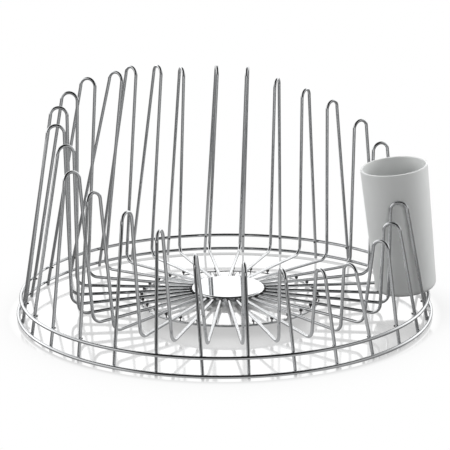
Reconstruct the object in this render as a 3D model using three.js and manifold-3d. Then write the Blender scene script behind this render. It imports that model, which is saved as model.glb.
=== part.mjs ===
// Round dish drying rack: thirty bent wire fingers around a flat hub, two hoops that tie their
// feet together, a polished base dish pegged under the spokes and a cutlery cup that lifts off.
// Millimetres, +Z up. The origin is on the floor, in the middle of the hoops. An azimuth starts
// at the front (-Y) and grows towards the right (+X).
import * as THREE from 'three';
import { mergeVertices } from 'three/addons/utils/BufferGeometryUtils.js';
import Module from 'manifold-3d';

// Clearance that touching pieces keep.
const gap = 0.3;

// Hoops. A radius is to the middle of the wire.
const hoopWire = 3.2;
const lowerHoopRadius = 190;
const lowerHoopHeight = 3;
const upperHoopHeight = 18.2;
const hoopSegments = 60;

// Fingers. Leans are sideways travel per unit of height. The ring of inner legs sits a little to
// the right of the hoops' middle.
const fingerWire = 3;
const fingerCount = 30;
const firstFingerAzimuth = 6;
const legLean = 0.19;
const fingerSway = 0.046;
const topBendRadius = 7.5;
const topBendSteps = 6;
const innerLegRadius = 147;
const innerShift = 5;
const innerBendRadius = 9;
const innerBendSteps = 3;
const spokeHeight = 14.6;
const spokeEndHeight = 18.6;
const spokeEndRadius = 29;
const cupFinger = 8;

// Hand bending leaves some fingers off the pattern: by a lean above the hoops, a sway, or a height.
const bentAboveHeight = 24;
const bentFingers = {
  1: { sway: -0.035, height: -0.5 },
  2: { height: -2 },
  3: { height: -4 },
  4: { lean: 0.035, sway: 0.035, height: -7 },
  5: { lean: -0.04, sway: -0.05 },
  10: { lean: -0.042, height: -5.5 },
  11: { lean: -0.043, height: -2 },
  12: { height: 2 },
  15: { height: 3.5 },
  17: { sway: -0.026, height: -4 },
  18: { height: -2 },
  20: { lean: 0.032, sway: 0.03 },
  21: { height: 2.5 },
  22: { lean: -0.017 },
  23: { lean: -0.024 },
  24: { lean: -0.025 },
  25: { lean: 0.01 },
  26: { lean: -0.036, height: -2.5 },
  27: { lean: -0.033 },
  28: { sway: -0.015, height: 2 },
  29: { height: 3.5 },
  30: { sway: 0.038, height: -3 },
};

// The tops of the fingers follow a tilted wave round the rack.
const meanHeight = 152;
const heightSwing = 61;
const tallestAzimuth = 213;
const heightRipple = 6;
const rippleAzimuth = 116;

// Hub disc, which lies on the ends of the spokes, a little to the right of the hoops' middle.
const hubRadius = 33.7;
const hubThickness = 1.2;
const hubShift = 3.2;
const edgeRounding = 0.4;

// Base dish, a thin crowned plate. A peg joins it to each spoke, just inside its rim.
const dishRadius = 83;
const dishRimHeight = 11;
const dishCrownHeight = 14;
const dishThickness = 0.8;
const dishShift = 4.4;
const dishRings = 6;
const pegWidth = 2.4;
const pegRing = 81;
const roundSegments = 60;

// Cutlery cup. Its own axis starts at the middle of its bottom.
const cupLength = 118;
const cupBottomRadius = 28.2;
const cupRimRadius = 30.6;
const cupWall = 2;
const cupCornerRadius = 6;
const cupCornerSteps = 4;
const cupSeatRadius = 167.5;
const cupSeatHeight = 19.3;
const cupSideShift = 0.5;
const cupLean = 0.12;
const cupSlotLength = 46.6;
const cupSlotOffset = -3.3;
const cupSlotWidth = 6;
const cupDrainRadius = 2.5;
const cupDrainRing = 15;
const cupSegments = 48;

const steel = { color: 0xc9cbcc, roughness: 0.12, metalness: 1 };
const plastic = { color: 0xb4b8b6, roughness: 0.6, metalness: 0 };

const radians = THREE.MathUtils.degToRad;
const legRadiusAtFloor = lowerHoopRadius - (hoopWire + fingerWire) / 2 - gap + legLean * lowerHoopHeight;
const upperHoopRadius = legRadius(upperHoopHeight) + (hoopWire + fingerWire) / 2 + gap;
const wasm = await Module();
wasm.setup();
const rack = new THREE.Group();

// A wire's middle line. Straight stretches are one step and bends are short ones.
class WirePath extends THREE.Curve {
  constructor(points, startDirection) {
    super();
    this.points = points;
    this.startDirection = startDirection;
  }

  getSpacedPoints() {
    return this.points.map((point) => point.clone());
  }

  getTangentAt(fraction, target = new THREE.Vector3()) {
    const last = this.points.length - 1;
    const index = Math.round(fraction * last);
    if (index === 0) {
      return target.copy(this.startDirection);
    }
    const before = this.directionFrom(index - 1);
    const after = this.directionFrom(Math.min(index, last - 1));
    return target.addVectors(before, after).normalize();
  }

  directionFrom(index) {
    return new THREE.Vector3().subVectors(this.points[index + 1], this.points[index]).normalize();
  }
}

function addPart(name, geometry, finish, parent = rack) {
  const mesh = new THREE.Mesh(geometry, new THREE.MeshStandardMaterial(finish));
  mesh.name = name;
  parent.add(mesh);
  return mesh;
}

function legRadius(height) {
  return legRadiusAtFloor - legLean * height;
}

function fingerHeight(azimuth) {
  const swing = heightSwing * Math.cos(radians(azimuth - tallestAzimuth));
  const ripple = heightRipple * Math.cos(2 * radians(azimuth - rippleAzimuth));
  return meanHeight + swing + ripple;
}

function fingerAzimuth(finger) {
  return firstFingerAzimuth + (360 / fingerCount) * (finger - 1);
}

// Spokes rise evenly from the bend to the hub.
function spokeHeightAt(radius) {
  const bendEnd = innerLegRadius - innerBendRadius;
  const share = (bendEnd - radius) / (bendEnd - spokeEndRadius);
  return spokeHeight + (spokeEndHeight - spokeHeight) * share;
}

// The finger's outline as [radius, height], from the foot up and over to the end of the spoke.
function fingerOutline(topHeight, extraLean, innerRadius) {
  const bendHeight = topHeight - topBendRadius;
  const bendLean = extraLean * (bendHeight - bentAboveHeight);
  const bendCentre = legRadius(bendHeight) - bendLean - topBendRadius;
  const outline = [[legRadius(0), 0], [legRadius(bentAboveHeight), bentAboveHeight]];
  for (let step = 0; step <= topBendSteps; step += 1) {
    const angle = (Math.PI * step) / topBendSteps;
    const radius = bendCentre + topBendRadius * Math.cos(angle);
    outline.push([radius, bendHeight + topBendRadius * Math.sin(angle)]);
  }
  for (let step = 0; step <= innerBendSteps; step += 1) {
    const angle = (Math.PI / 2) * (step / innerBendSteps);
    const radius = innerRadius - innerBendRadius * (1 - Math.cos(angle));
    outline.push([radius, spokeHeight + innerBendRadius * (1 - Math.sin(angle))]);
  }
  outline.push([spokeEndRadius, spokeEndHeight]);
  return outline;
}

function fingerGeometry(topHeight, extraLean, sway, innerRadius) {
  const points = fingerOutline(topHeight, extraLean, innerRadius).map(
    ([radius, height]) => new THREE.Vector3(radius, -sway * (height - spokeHeight), height),
  );
  const section = new THREE.Shape().absarc(0, 0, fingerWire / 2, 0, 2 * Math.PI);
  const extrudePath = new WirePath(points, new THREE.Vector3(0, 0, 1));
  return new THREE.ExtrudeGeometry(section, { curveSegments: 4, steps: points.length - 1, extrudePath });
}

function addFingers() {
  for (let finger = 1; finger <= fingerCount; finger += 1) {
    const azimuth = fingerAzimuth(finger);
    const { lean = 0, sway = 0, height = 0 } = bentFingers[finger] ?? {};
    const name = `finger_${String(finger).padStart(2, '0')}`;
    const innerRadius = innerLegRadius + innerShift * Math.sin(radians(azimuth));
    const topHeight = fingerHeight(azimuth) + height;
    const geometry = fingerGeometry(topHeight, lean, fingerSway + sway, innerRadius);
    const mesh = addPart(name, geometry, steel);
    mesh.rotation.z = radians(azimuth - 90);
  }
}

function addHoop(name, radius, height) {
  const hoop = addPart(name, new THREE.TorusGeometry(radius, hoopWire / 2, 8, hoopSegments), steel);
  hoop.position.z = height;
}

// Turns a closed [radius, height] profile about the Z axis.
function turned(profile, segments) {
  const points = profile.map(([radius, height]) => new THREE.Vector2(radius, height));
  return new THREE.LatheGeometry(points, segments).rotateX(Math.PI / 2);
}

function addHubDisc() {
  const profile = [
    [0, 0],
    [hubRadius - edgeRounding, 0],
    [hubRadius, edgeRounding],
    [hubRadius, hubThickness - edgeRounding],
    [hubRadius - edgeRounding, hubThickness],
    [0, hubThickness],
  ];
  const disc = addPart('hub_disc', turned(profile, roundSegments), steel);
  disc.position.set(hubShift, 0, spokeEndHeight + fingerWire / 2 + gap);
}

function toSolid(geometry) {
  const bare = geometry.clone();
  bare.deleteAttribute('normal');
  bare.deleteAttribute('uv');
  const merged = mergeVertices(bare);
  const vertProperties = new Float32Array(merged.attributes.position.array);
  const triVerts = new Uint32Array(merged.index.array);
  return new wasm.Manifold(new wasm.Mesh({ numProp: 3, vertProperties, triVerts }));
}

function toGeometry(solid) {
  const { vertProperties, triVerts } = solid.getMesh();
  const geometry = new THREE.BufferGeometry();
  geometry.setAttribute('position', new THREE.BufferAttribute(vertProperties, 3));
  geometry.setIndex(new THREE.BufferAttribute(triVerts, 1));
  return geometry;
}

function dishHeightAt(radius) {
  return dishCrownHeight - (dishCrownHeight - dishRimHeight) * (radius / dishRadius) ** 2;
}

function dishPlate() {
  const upper = [];
  for (let ring = 0; ring <= dishRings; ring += 1) {
    const radius = (dishRadius * ring) / dishRings;
    upper.push([radius, dishHeightAt(radius)]);
  }
  const lower = upper.map(([radius, height]) => [radius, height - dishThickness]);
  return turned([...lower, ...upper.reverse()], roundSegments);
}

// A peg stands in the dish and ends just under its spoke.
function addBaseDish() {
  let solid = toSolid(dishPlate());
  const foot = dishHeightAt(pegRing) - dishThickness / 2;
  for (let finger = 1; finger <= fingerCount; finger += 1) {
    const azimuth = radians(fingerAzimuth(finger));
    const distance = pegRing + dishShift * Math.sin(azimuth);
    const top = spokeHeightAt(distance) - fingerWire / 2 - gap;
    const peg = new THREE.BoxGeometry(pegWidth, pegWidth, top - foot);
    peg.rotateZ(azimuth);
    peg.translate(distance * Math.sin(azimuth) - dishShift, -distance * Math.cos(azimuth), (top + foot) / 2);
    solid = solid.add(toSolid(peg));
  }
  const dish = addPart('base_dish', toGeometry(solid), steel);
  dish.position.x = dishShift;
}

// One quarter turn from the flat bottom into the wall, as [radius, height].
function cupCorner(wallRadius, bottomHeight, cornerRadius) {
  const corner = [];
  for (let step = 0; step <= cupCornerSteps; step += 1) {
    const angle = (Math.PI / 2) * (step / cupCornerSteps);
    const radius = wallRadius - cornerRadius * (1 - Math.sin(angle));
    corner.push([radius, bottomHeight + cornerRadius * (1 - Math.cos(angle))]);
  }
  return corner;
}

function cupShell() {
  const outer = cupCorner(cupBottomRadius, 0, cupCornerRadius);
  const inner = cupCorner(cupBottomRadius - cupWall, cupWall, cupCornerRadius - cupWall);
  const rim = [[cupRimRadius, cupLength], [cupRimRadius - cupWall, cupLength]];
  return turned([[0, 0], ...outer, ...rim, ...inner.reverse(), [0, cupWall]], cupSegments);
}

// The slot lets the cup down over its finger, and the holes drain it.
function addCutleryCup() {
  const cutDepth = 2 * cupCornerRadius;
  const slot = new THREE.BoxGeometry(cupSlotLength, cupSlotWidth, cutDepth);
  slot.translate(cupSlotOffset, 0, 0);
  let solid = toSolid(cupShell()).subtract(toSolid(slot));
  for (const azimuth of [50, 90, 130, 230, 270, 310]) {
    const hole = new THREE.CylinderGeometry(cupDrainRadius, cupDrainRadius, cutDepth, 12);
    hole.rotateX(Math.PI / 2);
    hole.translate(cupDrainRing * Math.cos(radians(azimuth)), cupDrainRing * Math.sin(radians(azimuth)), 0);
    solid = solid.subtract(toSolid(hole));
  }
  const holder = new THREE.Group();
  holder.rotation.z = radians(fingerAzimuth(cupFinger) - 90);
  rack.add(holder);
  const cup = addPart('cutlery_cup', toGeometry(solid), plastic, holder);
  const sideways = -cupSideShift - fingerSway * (cupSeatHeight - spokeHeight);
  cup.position.set(cupSeatRadius, sideways, cupSeatHeight);
  const axis = new THREE.Vector3(-cupLean, -fingerSway, 1).normalize();
  cup.quaternion.setFromUnitVectors(new THREE.Vector3(0, 0, 1), axis);
}

addFingers();
addHoop('lower_hoop', lowerHoopRadius, lowerHoopHeight);
addHoop('upper_hoop', upperHoopRadius, upperHoopHeight);
addHubDisc();
addBaseDish();
addCutleryCup();

export default rack;
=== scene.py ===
"""A round wire dish drying rack with a lift-off cutlery cup, on a pale studio floor.

Sizes are in metres. The origin is on the floor, in the middle of the hoops, with the low
fingers towards -Y and the cup towards +X.
"""
import math

import bmesh
import bpy
from mathutils import Matrix, Vector


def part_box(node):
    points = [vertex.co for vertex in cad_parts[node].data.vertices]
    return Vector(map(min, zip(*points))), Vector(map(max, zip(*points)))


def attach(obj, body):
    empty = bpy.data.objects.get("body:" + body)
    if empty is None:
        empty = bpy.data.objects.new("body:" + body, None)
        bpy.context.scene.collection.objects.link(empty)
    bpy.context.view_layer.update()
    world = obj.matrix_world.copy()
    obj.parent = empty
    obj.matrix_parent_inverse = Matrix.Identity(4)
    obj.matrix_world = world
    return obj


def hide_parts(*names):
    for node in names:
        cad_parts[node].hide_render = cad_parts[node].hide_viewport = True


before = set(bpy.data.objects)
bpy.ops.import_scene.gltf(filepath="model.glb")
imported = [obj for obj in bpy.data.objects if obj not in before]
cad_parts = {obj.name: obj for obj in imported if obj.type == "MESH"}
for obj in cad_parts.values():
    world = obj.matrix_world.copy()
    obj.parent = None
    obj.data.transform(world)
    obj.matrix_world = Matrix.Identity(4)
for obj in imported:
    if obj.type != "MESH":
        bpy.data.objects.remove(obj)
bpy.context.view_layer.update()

MM = 0.001

# Fingers. Leans and sways are travel per unit of height, inwards and sideways.
FINGER_COUNT = 30
FINGERS = range(1, FINGER_COUNT + 1)
FIRST_AZIMUTH = 6
FINGER_WIRE = 3 * MM
LEG_LEAN = 0.19
FINGER_SWAY = 0.046
TOP_BEND_RADIUS = 7.5 * MM
INNER_LEG_RADIUS = 147 * MM
INNER_SHIFT = 5 * MM
INNER_BEND_RADIUS = 9 * MM
BENT_ABOVE = 24 * MM
SPOKE_HEIGHT = 14.6 * MM
SPOKE_END_HEIGHT = 18.6 * MM
SPOKE_END_RADIUS = 29 * MM
FOOT_CHAMFER = 0.35 * MM
CREST_DEPTH = FINGER_WIRE / 5
WIRE_SIDES = 16
TOP_BEND_STEPS = 28
INNER_BEND_STEPS = 14
STRAIGHT_SHARES = (0.04, 0.35, 0.65, 0.96)

# Hoops, hub and dish.
GAP = 0.3 * MM
HOOP_SEGMENTS = 240
ROUND_SEGMENTS = 160
HUB_EDGE = 1.6 * MM
HUB_DEPTH = 2.2 * MM
HUB_LIP = 0.2 * MM
HUB_FLAT_INSET = 2.08 * MM
EDGE_STEPS = 12
DISH_SHIFT = 4.4 * MM
DISH_RADIUS = 83 * MM
DISH_RIM_HEIGHT = 11 * MM
DISH_CROWN_HEIGHT = 14 * MM
DISH_THICKNESS = 0.8 * MM
DISH_STEPS = 24
RIM_BEAD_RADIUS = 0.9 * MM
PEG_RADIUS = 1.5 * MM
PEG_HEAD = 2.8 * MM
PEG_SINK = FINGER_WIRE / 3
POST_RADIUS = 0.5 * MM
PEG_RING = 81 * MM

# Weld beads, as the half sizes of each small lump: outwards, sideways and upwards.
HOOP_BEAD = (1.5 * MM, 1.1 * MM, 0.9 * MM)
# The dark lumps at the hub are painted shade: the hub disc's shade on the spoke ends.
HUB_SHADE_BEAD = (3.2 * MM, 1.8 * MM, 1.5 * MM)
HUB_SHADE_BEAD_LIFT = FINGER_WIRE / 6

# Cutlery cup. Its own axis starts at the middle of its bottom.
CUP_FINGER = 8
CUP_LENGTH = 118 * MM
CUP_BOTTOM_RADIUS = 28.2 * MM
CUP_RIM_RADIUS = 30.6 * MM
CUP_WALL = 2 * MM
CUP_CORNER = 6 * MM
CUP_CORNER_STEPS = 10
CUP_SEAT_RADIUS = 167.5 * MM
CUP_SEAT_HEIGHT = 19.3 * MM
CUP_SIDE_SHIFT = 0.5 * MM
CUP_LEAN = 0.12
CUP_SLOT = (46.6 * MM, 6 * MM)
CUP_SLOT_OFFSET = -3.3 * MM
CUP_DRAIN_RADIUS = 2.5 * MM
CUP_DRAIN_RING = 15 * MM
CUP_DRAIN_AZIMUTHS = (50, 90, 130, 230, 270, 310)
CUP_DRAIN_SIDES = 32
CUP_SEGMENTS = 128
CUP_SHARP_ANGLE = 40

# Materials. Nearly all noise lies inside this range.
NOISE_RANGE = (0.3, 0.7)

# Floor. Its glow is what the steel reflects of it, in front and behind or at the sides.
FLOOR_HALF_SIZE = 60
FRONT_GLOW = 0.52
SIDE_GLOW = 0.2
SIDE_SPREAD = (0.35, 0.85)
SHADOW_REACH = 60 * MM
SHADOW_LIGHT = 0.65
GLOSS_ROUGHNESS = 0.08
GLOSS_BLEND = 0.5
GLOSS_POWER = 2.4
GLOSS_EDGE = (190 * MM, 200 * MM)

# Room. Starts and fades are ranges of the direction looked in, from -1 to 1: the back starts
# towards +Y, the sides start towards X, and both fade upwards.
ROOM_LIGHT = 0.025
BACK_LIGHT = 1.35
LEFT_LIGHT = 1.0
RIGHT_LIGHT = 0.55
BACK_START = (0.15, 0.7)
BACK_FADE = (0.5, 0.95)
SIDE_START = (0.55, 0.9)
SIDE_FADE = (0.6, 0.9)

# Lamps, as the place, the side length and the power in watts of each.
LAMPS = {
    "lamp_overhead": ((0, 0.3, 1.6), 1.2, 15),
    "lamp_front": ((0.5, -1.7, 0.7), 1.0, 10.5),
    "lamp_right": ((1.6, 0.5, 0.7), 1.0, 23),
    "lamp_left": ((-1.6, 0.5, 0.6), 1.0, 20),
}
LAMP_TARGET = Vector((0, 0, 0.05))

# Camera. The angles are in degrees, the lens and the sensor in millimetres.
CAMERA_DISTANCE = 1.6107
CAMERA_ELEVATION = 18.15
CAMERA_ROLL = -0.35
CAMERA_TARGET = Vector((0.0007, 0, 0.0802))
CAMERA_LENS = 138.8
CAMERA_SENSOR = 36
CAMERA_REACH = 500

hoop_low, hoop_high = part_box("lower_hoop")
HOOP_WIRE = hoop_high.z - hoop_low.z
LOWER_HOOP_RADIUS = hoop_high.x - HOOP_WIRE / 2
LOWER_HOOP_HEIGHT = (hoop_low.z + hoop_high.z) / 2
LEG_FLOOR_RADIUS = LOWER_HOOP_RADIUS - (HOOP_WIRE + FINGER_WIRE) / 2 - GAP + LEG_LEAN * LOWER_HOOP_HEIGHT


def leg_radius(height):
    """The distance of an unbent outer leg from the middle, at a height."""
    return LEG_FLOOR_RADIUS - LEG_LEAN * height


def finger_azimuth(number):
    """Degrees round from the front, growing towards the cup."""
    return FIRST_AZIMUTH + 360 / FINGER_COUNT * (number - 1)


def spoke_height_at(radius):
    """The height of a spoke's middle line at a distance from the middle."""
    bend_end = INNER_LEG_RADIUS - INNER_BEND_RADIUS
    share = (bend_end - radius) / (bend_end - SPOKE_END_RADIUS)
    return SPOKE_HEIGHT + (SPOKE_END_HEIGHT - SPOKE_HEIGHT) * share


def to_rack(radius, sideways, height, azimuth):
    """A point given by its distance from the middle, its sideways shift and its height."""
    a = math.radians(azimuth)
    return Vector((
        radius * math.sin(a) + sideways * math.cos(a),
        -radius * math.cos(a) + sideways * math.sin(a),
        height,
    ))


def from_rack(point, azimuth):
    """The distance from the middle and the sideways shift of a point, seen from one azimuth."""
    a = math.radians(azimuth)
    radius = point.x * math.sin(a) - point.y * math.cos(a)
    sideways = point.x * math.cos(a) + point.y * math.sin(a)
    return radius, sideways


def add_object(name, mesh, material, slot, *nodes):
    """A piece of the basket, with its finish and the CAD nodes it stands for."""
    piece = bpy.data.objects.new(name, mesh)
    bpy.context.scene.collection.objects.link(piece)
    mesh.materials.append(material)
    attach(piece, "basket")
    if nodes:
        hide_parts(*nodes)


def finish_mesh(name, bm):
    """A smooth-shaded mesh with its faces pointing out."""
    bmesh.ops.recalc_face_normals(bm, faces=bm.faces)
    mesh = bpy.data.meshes.new(name)
    bm.to_mesh(mesh)
    bm.free()
    for polygon in mesh.polygons:
        polygon.use_smooth = True
    return mesh


def ring_about(bm, centre, first, second, radius):
    """One ring of points about centre, in the plane of two unit vectors."""
    ring = []
    for k in range(WIRE_SIDES):
        angle = 2 * math.pi * k / WIRE_SIDES
        ring.append(bm.verts.new(centre + radius * (math.cos(angle) * first + math.sin(angle) * second)))
    return ring


def join_rings(bm, lower, upper, start, end):
    """A band of faces. Its UV goes round the wire and, in millimetres, along it."""
    layer = bm.loops.layers.uv.verify()
    for k in range(WIRE_SIDES):
        j = (k + 1) % WIRE_SIDES
        face = bm.faces.new((lower[k], lower[j], upper[j], upper[k]))
        spots = ((k, start), (k + 1, start), (k + 1, end), (k, end))
        for loop, (turn, length) in zip(face.loops, spots):
            loop[layer].uv = (turn / WIRE_SIDES, length / MM)


def sweep(bm, points, radii):
    """A round wire along points, with a radius at each point and closed ends."""
    last = len(points) - 1
    tangents = []
    for i in range(last + 1):
        before = points[max(i, 1)] - points[max(i, 1) - 1]
        after = points[min(i + 1, last)] - points[min(i, last - 1)]
        tangents.append((before.normalized() + after.normalized()).normalized())
    normal = tangents[0].orthogonal().normalized()
    rings = []
    for i in range(last + 1):
        if i:
            normal = tangents[i - 1].rotation_difference(tangents[i]) @ normal
        rings.append(ring_about(bm, points[i], normal, tangents[i].cross(normal), radii[i]))
    length = 0
    for i in range(last):
        step = (points[i + 1] - points[i]).length
        join_rings(bm, rings[i], rings[i + 1], length, length + step)
        length += step
    bm.faces.new(list(reversed(rings[0])))
    bm.faces.new(rings[-1])


def finger_outline(top, extra_lean, inner_radius):
    """The wire's middle line as (radius, height), from the foot to the end of the spoke."""
    bend_height = top - TOP_BEND_RADIUS
    bend_centre = leg_radius(bend_height) - extra_lean * (bend_height - BENT_ABOVE) - TOP_BEND_RADIUS
    outline = [(leg_radius(height), height) for height in (0, FOOT_CHAMFER, 2 * FOOT_CHAMFER)]
    outline.append((leg_radius(BENT_ABOVE), BENT_ABOVE))
    outer_top = bend_centre + TOP_BEND_RADIUS
    outline += straight((leg_radius(BENT_ABOVE), BENT_ABOVE), (outer_top, bend_height))
    for step in range(TOP_BEND_STEPS + 1):
        angle = math.pi * step / TOP_BEND_STEPS
        radius = bend_centre + TOP_BEND_RADIUS * math.cos(angle)
        outline.append((radius, bend_height + TOP_BEND_RADIUS * math.sin(angle)))
    inner_top = bend_centre - TOP_BEND_RADIUS
    outline += straight((inner_top, bend_height), (inner_radius, SPOKE_HEIGHT + INNER_BEND_RADIUS))
    for step in range(INNER_BEND_STEPS + 1):
        angle = math.pi / 2 * step / INNER_BEND_STEPS
        radius = inner_radius - INNER_BEND_RADIUS * (1 - math.cos(angle))
        outline.append((radius, SPOKE_HEIGHT + INNER_BEND_RADIUS * (1 - math.sin(angle))))
    spoke_start = inner_radius - INNER_BEND_RADIUS
    outline += straight((spoke_start, SPOKE_HEIGHT), (SPOKE_END_RADIUS, SPOKE_END_HEIGHT))
    outline.append((SPOKE_END_RADIUS, SPOKE_END_HEIGHT))
    return outline


def straight(start, end):
    """Points between the ends of a straight stretch, closer together near the bends."""
    return [
        (start[0] + (end[0] - start[0]) * share, start[1] + (end[1] - start[1]) * share)
        for share in STRAIGHT_SHARES
    ]


def finger_shape(node, azimuth):
    """The height, extra lean and sway of a finger, from the top of its solid."""
    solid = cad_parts[node]
    points = [solid.matrix_world @ vertex.co for vertex in solid.data.vertices]
    highest = max(point.z for point in points)
    crest = [point for point in points if point.z > highest - CREST_DEPTH]
    middle = sum(crest, Vector()) / len(crest)
    radius, sideways = from_rack(middle, azimuth)
    top = highest - FINGER_WIRE / 2
    bend_height = top - TOP_BEND_RADIUS
    extra_lean = (leg_radius(bend_height) - TOP_BEND_RADIUS - radius) / (bend_height - BENT_ABOVE)
    sway = -sideways / (top - SPOKE_HEIGHT)
    return top, extra_lean, sway


def add_finger(number, material):
    """One hairpin wire, with the height, lean and sway of its own solid."""
    node = f"finger_{number:02d}"
    azimuth = finger_azimuth(number)
    top, extra_lean, sway = finger_shape(node, azimuth)
    inner_radius = INNER_LEG_RADIUS + INNER_SHIFT * math.sin(math.radians(azimuth))
    points = [
        to_rack(radius, -sway * (height - SPOKE_HEIGHT), height, azimuth)
        for radius, height in finger_outline(top, extra_lean, inner_radius)
    ]
    radii = [FINGER_WIRE / 2] * len(points)
    radii[0] -= FOOT_CHAMFER
    bm = bmesh.new()
    sweep(bm, points, radii)
    add_object(f"wire_{node}", finish_mesh(node, bm), material, "steel_wire", node)


def add_hoop(node, material):
    """A round wire hoop with the size and the height of its solid."""
    low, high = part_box(node)
    wire = high.z - low.z
    radius = high.x - wire / 2
    add_ring(f"wire_{node}", radius, (low.z + high.z) / 2, wire / 2, 0, material, "steel_wire", node)


def turned(bm, profile, segments=ROUND_SEGMENTS, centre=Vector()):
    """Turns an open profile of (radius, height), which starts and ends on the axis, about Z."""
    rings = []
    for radius, height in profile:
        count = segments if radius else 1
        ring = []
        for i in range(count):
            angle = 2 * math.pi * i / segments
            offset = Vector((radius * math.cos(angle), radius * math.sin(angle), height))
            ring.append(bm.verts.new(centre + offset))
        rings.append(ring)
    for a, b in zip(rings, rings[1:]):
        for i in range(segments):
            j = i + 1
            corners = [a[i % len(a)], a[j % len(a)], b[j % len(b)], b[i % len(b)]]
            bm.faces.new(list(dict.fromkeys(corners)))


def add_hub_disc(material):
    """A flat disc with a turned-down edge that drops between the spokes."""
    low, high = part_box("hub_disc")
    radius = (high.x - low.x) / 2
    bottom = high.z - HUB_DEPTH
    profile = [(0, bottom), (radius - HUB_EDGE, bottom), (radius - HUB_LIP, bottom)]
    for step in range(EDGE_STEPS + 1):
        angle = math.pi / 2 * step / EDGE_STEPS
        reach = radius - HUB_EDGE * (1 - math.cos(angle))
        lift = HUB_LIP + (HUB_DEPTH - HUB_LIP) * math.sin(angle)
        profile.append((reach, bottom + lift))
    profile += [(radius - HUB_FLAT_INSET, high.z), (0, high.z)]
    bm = bmesh.new()
    turned(bm, profile, centre=Vector(((low.x + high.x) / 2, 0, 0)))
    add_object("hub_plate", finish_mesh("hub_disc", bm), material, "steel_sheet", "hub_disc")


def dish_height_at(radius):
    """The height of the dish's upper face at a distance from its middle."""
    drop = DISH_CROWN_HEIGHT - DISH_RIM_HEIGHT
    return DISH_CROWN_HEIGHT - drop * (radius / DISH_RADIUS) ** 2


def add_base_dish(material):
    """A thin crowned plate, whose edge ends inside the rim bead."""
    upper = []
    for step in range(DISH_STEPS + 1):
        radius = DISH_RADIUS * step / DISH_STEPS
        upper.append((radius, dish_height_at(radius)))
    lower = [(radius, height - DISH_THICKNESS) for radius, height in upper]
    bm = bmesh.new()
    turned(bm, lower + upper[::-1], centre=Vector((DISH_SHIFT, 0, 0)))
    add_object("base_plate", finish_mesh("base_dish", bm), material, "steel_sheet", "base_dish")


def add_ring(name, radius, height, wire_radius, centre, material, slot, *nodes):
    """A closed hoop of round wire."""
    bm = bmesh.new()
    rings = []
    for i in range(HOOP_SEGMENTS):
        turn = 2 * math.pi * i / HOOP_SEGMENTS
        outward = Vector((math.cos(turn), math.sin(turn), 0))
        middle = Vector((centre, 0, height)) + radius * outward
        rings.append(ring_about(bm, middle, outward, Vector((0, 0, 1)), wire_radius))
    step = 2 * math.pi * radius / HOOP_SEGMENTS
    for i in range(HOOP_SEGMENTS):
        join_rings(bm, rings[i], rings[(i + 1) % HOOP_SEGMENTS], i * step, (i + 1) * step)
    add_object(name, finish_mesh(name, bm), material, slot, *nodes)


def add_dish_pegs(material):
    """One thin post from the dish up to each spoke, with a thick welded head."""
    bm = bmesh.new()
    for number in FINGERS:
        azimuth = finger_azimuth(number)
        distance = PEG_RING + DISH_SHIFT * math.sin(math.radians(azimuth))
        foot = to_rack(distance, 0, dish_height_at(PEG_RING) - DISH_THICKNESS / 2, azimuth)
        top = to_rack(distance, 0, spoke_height_at(distance) - PEG_SINK, azimuth)
        neck = top - Vector((0, 0, PEG_HEAD))
        shoulder = neck + Vector((0, 0, PEG_RADIUS / 2))
        sweep(bm, [foot, neck, shoulder, top], [POST_RADIUS, POST_RADIUS, PEG_RADIUS, PEG_RADIUS])
    add_object("dish_pegs", finish_mesh("dish_pegs", bm), material, "steel_wire")


def add_lump(bm, centre, half_sizes, azimuth):
    """One weld bead: a smooth lump with its half sizes outwards, sideways and upwards."""
    turn = Matrix.Rotation(math.radians(azimuth - 90), 4, "Z")
    stretch = Matrix.Diagonal((*half_sizes, 1))
    matrix = Matrix.Translation(centre) @ turn @ stretch
    bmesh.ops.create_icosphere(bm, subdivisions=2, radius=1, matrix=matrix)


def add_weld_and_shade_beads(material):
    """Beads on each leg, outside it at the lower hoop and inside it at the upper, and dark lumps at the
    hub that paint the hub disc's shade on the spoke ends.
    """
    low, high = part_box("hub_disc")
    hub_radius = (high.x - low.x) / 2
    hub_shift = (high.x + low.x) / 2
    bm = bmesh.new()
    for node, side in (("lower_hoop", 1), ("upper_hoop", -1)):
        low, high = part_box(node)
        height = (low.z + high.z) / 2
        distance = leg_radius(height) + side * (FINGER_WIRE + GAP) / 2
        sideways = -FINGER_SWAY * (height - SPOKE_HEIGHT)
        for number in FINGERS:
            azimuth = finger_azimuth(number)
            add_lump(bm, to_rack(distance, sideways, height, azimuth), HOOP_BEAD, azimuth)
    # Painted shade: a dark lump on each spoke at the hub's edge, where the hub disc shades it.
    for number in FINGERS:
        azimuth = finger_azimuth(number)
        distance = hub_radius + hub_shift * math.sin(math.radians(azimuth))
        end = to_rack(distance, 0, spoke_height_at(distance) + HUB_SHADE_BEAD_LIFT, azimuth)
        add_lump(bm, end, HUB_SHADE_BEAD, azimuth)
    add_object("weld_and_shade_beads", finish_mesh("weld_and_shade_beads", bm), material, "steel_wire")


def quarter(wall_radius, bottom, corner):
    """One quarter turn from the flat bottom of the cup into its wall."""
    points = []
    for step in range(CUP_CORNER_STEPS + 1):
        angle = math.pi / 2 * step / CUP_CORNER_STEPS
        radius = wall_radius - corner * (1 - math.sin(angle))
        points.append((radius, bottom + corner * (1 - math.cos(angle))))
    return points


def cup_profile():
    """Up the outside, over the round lip and down the inside, from axis to axis."""
    outer = quarter(CUP_BOTTOM_RADIUS, 0, CUP_CORNER)
    inner = quarter(CUP_BOTTOM_RADIUS - CUP_WALL, CUP_WALL, CUP_CORNER - CUP_WALL)
    lip = []
    for step in range(EDGE_STEPS + 1):
        angle = math.pi * step / EDGE_STEPS
        radius = CUP_RIM_RADIUS - CUP_WALL / 2 + CUP_WALL / 2 * math.cos(angle)
        lip.append((radius, CUP_LENGTH - CUP_WALL / 2 + CUP_WALL / 2 * math.sin(angle)))
    return [(0, 0), *outer, *lip, *reversed(inner), (0, CUP_WALL)]


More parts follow.
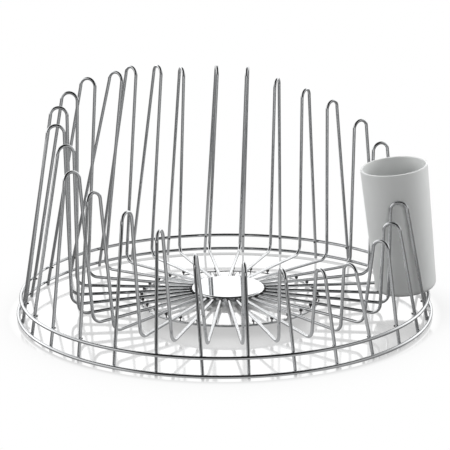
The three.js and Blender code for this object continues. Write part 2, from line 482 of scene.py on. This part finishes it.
def cut(piece, cutter_mesh, name):
    """Cuts a closed mesh out of a piece and drops the cutter."""
    cutter = bpy.data.objects.new(name, cutter_mesh)
    bpy.context.scene.collection.objects.link(cutter)
    modifier = piece.modifiers.new(name, "BOOLEAN")
    modifier.operation = "DIFFERENCE"
    modifier.solver = "EXACT"
    modifier.object = cutter
    bpy.context.view_layer.update()
    result = bpy.data.meshes.new_from_object(piece.evaluated_get(bpy.context.evaluated_depsgraph_get()))
    piece.modifiers.clear()
    piece.data = result
    bpy.data.objects.remove(cutter)


def cup_cutter():
    """The slot for the finger and the drain holes, as one set of closed solids."""
    bm = bmesh.new()
    slot = Matrix.Translation((CUP_SLOT_OFFSET, 0, 0)) @ Matrix.Diagonal((*CUP_SLOT, 2 * CUP_CORNER, 1))
    bmesh.ops.create_cube(bm, size=1, matrix=slot)
    for azimuth in CUP_DRAIN_AZIMUTHS:
        a = math.radians(azimuth)
        place = Matrix.Translation((CUP_DRAIN_RING * math.cos(a), CUP_DRAIN_RING * math.sin(a), 0))
        bmesh.ops.create_cone(
            bm, cap_ends=True, segments=CUP_DRAIN_SIDES, radius1=CUP_DRAIN_RADIUS,
            radius2=CUP_DRAIN_RADIUS, depth=2 * CUP_CORNER, matrix=place,
        )
    mesh = bpy.data.meshes.new("cup_cutter")
    bm.to_mesh(mesh)
    bm.free()
    return mesh


def add_cup(material):
    """The cup, turned and cut about its own axis and then leaned over its finger."""
    bm = bmesh.new()
    turned(bm, cup_profile(), CUP_SEGMENTS)
    piece = bpy.data.objects.new("cup_shell", finish_mesh("cup", bm))
    bpy.context.scene.collection.objects.link(piece)
    cut(piece, cup_cutter(), "cup_cutter")
    sideways = -CUP_SIDE_SHIFT - FINGER_SWAY * (CUP_SEAT_HEIGHT - SPOKE_HEIGHT)
    seat = to_rack(CUP_SEAT_RADIUS, sideways, CUP_SEAT_HEIGHT, finger_azimuth(CUP_FINGER))
    axis = Vector((-CUP_LEAN, -FINGER_SWAY, 1))
    tilt = Vector((0, 0, 1)).rotation_difference(axis).to_matrix().to_4x4()
    piece.data.transform(Matrix.Translation(seat) @ tilt)
    piece.data.materials.clear()
    piece.data.materials.append(material)
    piece.data.shade_smooth()
    piece.data.set_sharp_from_angle(angle=math.radians(CUP_SHARP_ANGLE))
    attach(piece, "cup")
    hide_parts("cutlery_cup")


def add_node(tree, kind, *inputs, **settings):
    """A shader node, with its first inputs set or linked in order. None leaves an input alone."""
    node = tree.nodes.new(f"ShaderNode{kind}")
    for name, setting in settings.items():
        setattr(node, name, setting)
    for socket, value in zip(node.inputs, inputs):
        if isinstance(value, bpy.types.NodeSocket):
            tree.links.new(value, socket)
        elif value is not None:
            socket.default_value = value
    return node


def remap(tree, value, source, result, shape="LINEAR"):
    """A value moved from a source range to a result range, and held at their ends."""
    return add_node(tree, "MapRange", value, *source, *result, interpolation_type=shape).outputs["Result"]


def combine(tree, operation, *values):
    """One step of arithmetic on sockets or numbers."""
    return add_node(tree, "Math", *values, operation=operation).outputs["Value"]


def new_material(name, colour, roughness, metallic):
    """A material, its nodes and its shader, with the even values set on the shader itself."""
    material = bpy.data.materials.new(name)
    material.use_nodes = True
    tree = material.node_tree
    shader = tree.nodes["Principled BSDF"]
    shader.inputs["Base Color"].default_value = (*colour, 1)
    shader.inputs["Roughness"].default_value = roughness
    shader.inputs["Metallic"].default_value = metallic
    return material, tree, shader


def add_noise(tree, space, scale, detail=3.0, stretch=(1, 1, 1)):
    """Noise over a stretched Object or UV coordinate."""
    place = add_node(tree, "TexCoord").outputs[space]
    mapping = add_node(tree, "Mapping", place)
    mapping.inputs["Scale"].default_value = stretch
    noise = add_node(tree, "TexNoise", mapping.outputs["Vector"])
    noise.inputs["Scale"].default_value = scale
    noise.inputs["Detail"].default_value = detail
    return noise.outputs["Fac"]


def spread(tree, noise, low, high, target):
    """Feeds a socket from noise, between two values."""
    tree.links.new(remap(tree, noise, NOISE_RANGE, (low, high)), target)


def tint(tree, noise, first, second, target):
    """Feeds a colour socket from noise, between two colours."""
    ramp = add_node(tree, "ValToRGB", noise)
    for stop, position, colour in zip(ramp.color_ramp.elements, NOISE_RANGE, (first, second)):
        stop.position = position
        stop.color = (*colour, 1)
    tree.links.new(ramp.outputs["Color"], target)


def add_bump(tree, noise, strength, distance, shader):
    """Fine relief from noise, distance deep."""
    bump = add_node(tree, "Bump")
    bump.inputs["Strength"].default_value = strength
    bump.inputs["Distance"].default_value = distance
    tree.links.new(noise, bump.inputs["Height"])
    tree.links.new(bump.outputs["Normal"], shader.inputs["Normal"])


def wire_steel():
    """Polished wire with faint drawing marks along it and a slightly uneven polish."""
    material, tree, shader = new_material("polished_wire", (0.7, 0.71, 0.72), roughness=0.06, metallic=1)
    streaks = add_noise(tree, "UV", scale=1, detail=4, stretch=(34, 0.05, 1))
    patches = add_noise(tree, "Object", scale=45)
    spread(tree, patches, 0.04, 0.1, shader.inputs["Roughness"])
    tint(tree, streaks, (0.66, 0.67, 0.685), (0.74, 0.75, 0.755), shader.inputs["Base Color"])
    add_bump(tree, streaks, strength=0.12, distance=0.04 * MM, shader=shader)
    return material


def add_polish(tree, shader, roughness, first, second):
    """Faint polishing marks on sheet steel, between two colours and two roughnesses."""
    marks = add_noise(tree, "Object", scale=260, detail=5, stretch=(1, 6, 1))
    patches = add_noise(tree, "Object", scale=30)
    spread(tree, patches, *roughness, shader.inputs["Roughness"])
    tint(tree, marks, first, second, shader.inputs["Base Color"])
    add_bump(tree, marks, strength=0.05, distance=0.02 * MM, shader=shader)


def sheet_steel():
    """Mirror-polished sheet for the hub."""
    material, tree, shader = new_material("polished_sheet", (0.85, 0.86, 0.87), roughness=0.03, metallic=1)
    add_polish(tree, shader, (0.02, 0.07), (0.81, 0.82, 0.83), (0.88, 0.89, 0.9))
    return material


def satin_steel():
    """Bright sheet for the dish, paler and less mirror-like than the hub."""
    material, tree, shader = new_material("satin_sheet", (0.92, 0.92, 0.92), roughness=0.05, metallic=0.5)
    add_polish(tree, shader, (0.04, 0.09), (0.9, 0.9, 0.9), (0.94, 0.94, 0.94))
    return material


def weld_and_shade_steel():
    """Dull dark steel for the weld beads and the pegs. On the lumps at the hub, this dark colour is
    painted shade.
    """
    material, tree, shader = new_material("weld_and_shade_steel", (0.13, 0.13, 0.13), roughness=0.4, metallic=1)
    grain = add_noise(tree, "Object", scale=900, detail=4)
    spread(tree, grain, 0.32, 0.5, shader.inputs["Roughness"])
    tint(tree, grain, (0.08, 0.08, 0.08), (0.18, 0.18, 0.18), shader.inputs["Base Color"])
    add_bump(tree, grain, strength=0.4, distance=0.1 * MM, shader=shader)
    return material


def moulded_plastic():
    """Light grey plastic with a fine moulded grain."""
    material, tree, shader = new_material("cup_plastic", (0.64, 0.65, 0.645), roughness=0.42, metallic=0)
    grain = add_noise(tree, "Object", scale=1400, detail=4)
    clouds = add_noise(tree, "Object", scale=60)
    spread(tree, grain, 0.36, 0.5, shader.inputs["Roughness"])
    tint(tree, clouds, (0.63, 0.64, 0.635), (0.65, 0.66, 0.655), shader.inputs["Base Color"])
    add_bump(tree, grain, strength=0.15, distance=0.06 * MM, shader=shader)
    return material


def floor_light(tree, place):
    """White where the camera sees it, dimmer where the steel reflects it, with a soft shadow."""
    direction = add_node(tree, "VectorMath", place, operation="NORMALIZE").outputs["Vector"]
    sideways = add_node(tree, "SeparateXYZ", direction).outputs["X"]
    across = combine(tree, "ABSOLUTE", sideways)
    reflected = remap(tree, across, SIDE_SPREAD, (FRONT_GLOW, SIDE_GLOW), "SMOOTHSTEP")
    seen = add_node(tree, "LightPath").outputs["Is Camera Ray"]
    glow = remap(tree, seen, (0, 1), (reflected, 1))
    openness = add_node(tree, "AmbientOcclusion", None, SHADOW_REACH).outputs["AO"]
    shadow = remap(tree, openness, (0, 1), (SHADOW_LIGHT, 1))
    return combine(tree, "MULTIPLY", glow, shadow)


def floor_gloss(tree, place):
    """The share of gloss: more at a grazing angle, and only round the rack."""
    facing = add_node(tree, "LayerWeight", GLOSS_BLEND).outputs["Facing"]
    sheen = combine(tree, "POWER", facing, GLOSS_POWER)
    distance = add_node(tree, "VectorMath", place, operation="LENGTH").outputs["Value"]
    patch = remap(tree, distance, GLOSS_EDGE, (1, 0))
    return combine(tree, "MULTIPLY", sheen, patch)


def floor_material():
    """A white glow under a layer of gloss."""
    material = bpy.data.materials.new("floor_gloss")
    material.use_nodes = True
    tree = material.node_tree
    tree.nodes.clear()
    place = add_node(tree, "TexCoord").outputs["Object"]
    white = add_node(tree, "Emission", None, floor_light(tree, place)).outputs["Emission"]
    gloss = add_node(tree, "BsdfGlossy", (1, 1, 1, 1), GLOSS_ROUGHNESS).outputs["BSDF"]
    surface = add_node(tree, "MixShader", floor_gloss(tree, place), white, gloss).outputs["Shader"]
    add_node(tree, "OutputMaterial", surface)
    return material


def add_floor():
    """A glossy white table."""
    bm = bmesh.new()
    bmesh.ops.create_grid(bm, x_segments=1, y_segments=1, size=FLOOR_HALF_SIZE)
    mesh = bpy.data.meshes.new("floor")
    bm.to_mesh(mesh)
    bm.free()
    mesh.materials.append(floor_material())
    floor = bpy.data.objects.new("floor", mesh)
    bpy.context.scene.collection.objects.link(floor)


def room_light(tree):
    """A white wall behind and to the sides, and a dark room in front and overhead."""
    direction = add_node(tree, "TexCoord").outputs["Generated"]
    x, y, z = add_node(tree, "SeparateXYZ", direction).outputs
    left_start = [-end for end in reversed(SIDE_START)]
    back = remap(tree, y, BACK_START, (0, BACK_LIGHT), "SMOOTHSTEP")
    back = combine(tree, "MULTIPLY", back, remap(tree, z, BACK_FADE, (1, 0), "SMOOTHSTEP"))
    left = remap(tree, x, left_start, (LEFT_LIGHT, 0), "SMOOTHSTEP")
    right = remap(tree, x, SIDE_START, (0, RIGHT_LIGHT), "SMOOTHSTEP")
    below_top = remap(tree, z, SIDE_FADE, (1, 0), "SMOOTHSTEP")
    sides = combine(tree, "MULTIPLY", combine(tree, "ADD", left, right), below_top)
    return combine(tree, "ADD", combine(tree, "ADD", back, sides), ROOM_LIGHT)


def add_world():
    """White where the camera sees it, and the room where the steel reflects it."""
    world = bpy.data.worlds.new("studio")
    bpy.context.scene.world = world
    world.use_nodes = True
    tree = world.node_tree
    seen = add_node(tree, "LightPath").outputs["Is Camera Ray"]
    strength = remap(tree, seen, (0, 1), (room_light(tree), 1))
    background = tree.nodes["Background"]
    background.inputs["Color"].default_value = (1, 1, 1, 1)
    tree.links.new(strength, background.inputs["Strength"])


def add_lamp(name, place, size, power):
    """A soft lamp that lights the matt surfaces. The steel reflects the room in its place."""
    data = bpy.data.lights.new(name, "AREA")
    data.shape = "SQUARE"
    data.size = size
    data.energy = power
    lamp = bpy.data.objects.new(name, data)
    lamp.location = place
    lamp.rotation_mode = "QUATERNION"
    lamp.rotation_quaternion = (LAMP_TARGET - lamp.location).to_track_quat("-Z", "Y")
    lamp.visible_glossy = False
    lamp.visible_camera = False
    bpy.context.scene.collection.objects.link(lamp)


def add_camera():
    """A long lens straight in front of the rack, looking a little down on it."""
    data = bpy.data.cameras.new("camera")
    data.sensor_width = CAMERA_SENSOR
    data.lens = CAMERA_LENS
    data.clip_end = CAMERA_REACH
    camera = bpy.data.objects.new("camera", data)
    elevation = math.radians(CAMERA_ELEVATION)
    camera.location = CAMERA_DISTANCE * Vector((0, -math.cos(elevation), math.sin(elevation)))
    view = CAMERA_TARGET - camera.location
    roll = Matrix.Rotation(math.radians(CAMERA_ROLL), 3, "Z").to_quaternion()
    camera.rotation_mode = "QUATERNION"
    camera.rotation_quaternion = view.to_track_quat("-Z", "Y") @ roll
    bpy.context.scene.collection.objects.link(camera)
    bpy.context.scene.camera = camera


bpy.context.scene.view_settings.view_transform = "Standard"
add_camera()
add_world()
add_floor()
for lamp, (place, size, power) in LAMPS.items():
    add_lamp(lamp, place, size, power)

wire = wire_steel()
sheet = sheet_steel()
for number in FINGERS:
    add_finger(number, wire)
add_hoop("lower_hoop", wire)
add_hoop("upper_hoop", wire)
add_hub_disc(sheet)
add_base_dish(satin_steel())
rim_height = DISH_RIM_HEIGHT - DISH_THICKNESS / 2
add_ring("dish_rim", DISH_RADIUS, rim_height, RIM_BEAD_RADIUS, DISH_SHIFT, wire, "steel_wire")
# Dark steel for the welds and pegs, and painted shade in the lumps at the hub.
weld_and_shade = weld_and_shade_steel()
add_dish_pegs(weld_and_shade)
add_weld_and_shade_beads(weld_and_shade)
add_cup(moulded_plastic())
